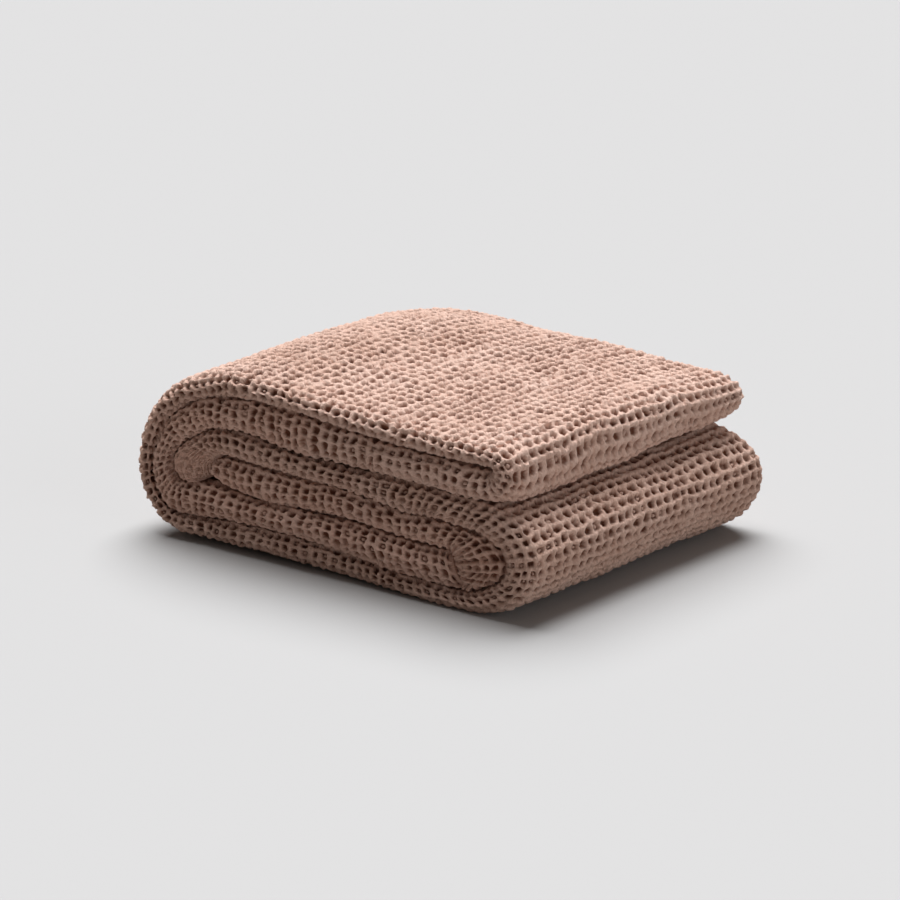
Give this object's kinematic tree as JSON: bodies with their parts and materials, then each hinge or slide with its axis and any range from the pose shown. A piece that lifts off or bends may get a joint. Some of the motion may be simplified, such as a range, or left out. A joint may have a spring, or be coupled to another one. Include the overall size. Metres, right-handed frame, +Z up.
{
  "type": "folded throw blanket",
  "caption": "Thick cotton waffle throw folded into a layered rectangular pack, with a top flap that lifts and curls back.",
  "frame": {"origin": "centre of the pack's base, on the surface it rests on", "axes": "+X along the pack towards the free end of the flap, +Y across the strip, +Z up"},
  "size_m": [0.34, 0.268, 0.1219],
  "materials": {
    "outer_cotton": "stone-washed waffle weave cotton, dusty rose, matt",
    "inner_cotton": "stone-washed waffle weave cotton, dusty rose, matt, seen only at its folded edges",
    "flap_cotton": "stone-washed waffle weave cotton, dusty rose, matt"
  },
  "bodies": {
    "bundle": {"bottom_layer": "outer_cotton", "lower_layer": "inner_cotton", "core_layer": "inner_cotton", "middle_layer": "outer_cotton", "outer_left_wrap": "outer_cotton", "inner_left_wrap": "inner_cotton", "curled_end": "inner_cotton", "inner_right_turn": "inner_cotton", "outer_right_wrap": "outer_cotton"},
    "flap_root": {"flap_top_root": "flap_cotton", "flap_under_root": "flap_cotton"},
    "flap_end": {"flap_top_end": "flap_cotton", "flap_under_end": "flap_cotton", "flap_turn": "flap_cotton"}
  },
  "joints": [
    {"name": "flap_lift", "type": "hinge", "parent": "bundle", "child": "flap_root", "pos_m": [-0.098, 0, 0.1187], "axis": [0, -1, 0], "range_deg": [0, 80]},
    {"name": "flap_curl", "type": "hinge", "parent": "flap_root", "child": "flap_end", "pos_m": [0.03, 0, 0.11305], "axis": [0, -1, 0], "range_deg": [0, 70]}
  ]
}
